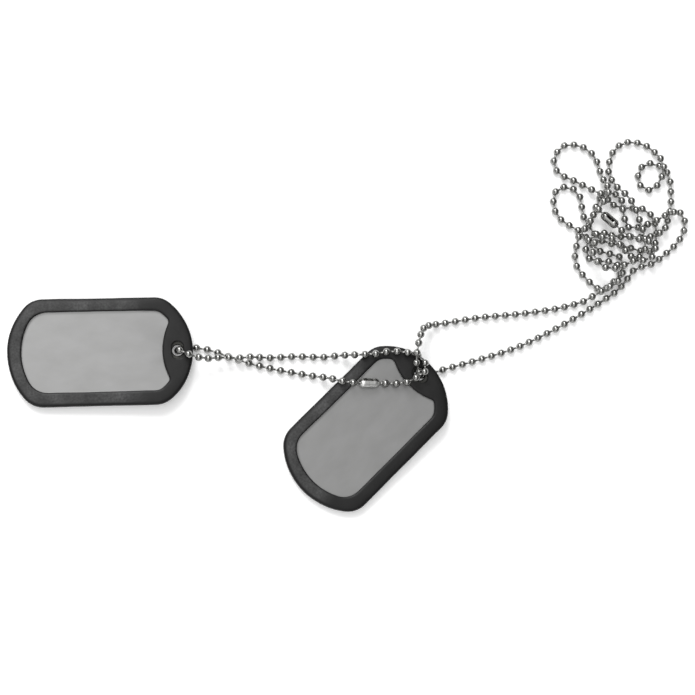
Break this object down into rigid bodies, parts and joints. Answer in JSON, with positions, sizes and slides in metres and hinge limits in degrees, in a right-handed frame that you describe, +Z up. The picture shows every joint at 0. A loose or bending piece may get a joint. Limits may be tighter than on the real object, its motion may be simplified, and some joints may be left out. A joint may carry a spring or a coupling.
{
  "type": "identification tag set",
  "caption": "Blank steel identification tags in rubber silencers, one on a short ball chain, the other on a long neck chain, closed by snap connectors.",
  "frame": {"origin": "middle of the set's footprint on the surface it lies on, z = 0 at that surface", "axes": "+X from the first tag towards the piled chain, +Y towards the top of the picture, +Z up"},
  "size_m": [0.2084, 0.1166, 0.0105],
  "materials": {
    "steel_plate": "satin stainless steel, blank",
    "silencer_rubber": "matte black silicone rubber",
    "chain_metal": "bright nickel-plated ball chain"
  },
  "bodies": {
    "root": {"left_plate": "steel_plate", "left_silencer": "silencer_rubber", "right_plate": "steel_plate", "right_silencer": "silencer_rubber", "short_chain_balls": "chain_metal", "short_chain_wire": "chain_metal", "short_chain_connector": "chain_metal", "long_chain_run": "chain_metal", "long_chain_pile": "chain_metal", "long_chain_connector": "chain_metal"}
  },
  "joints": []
}
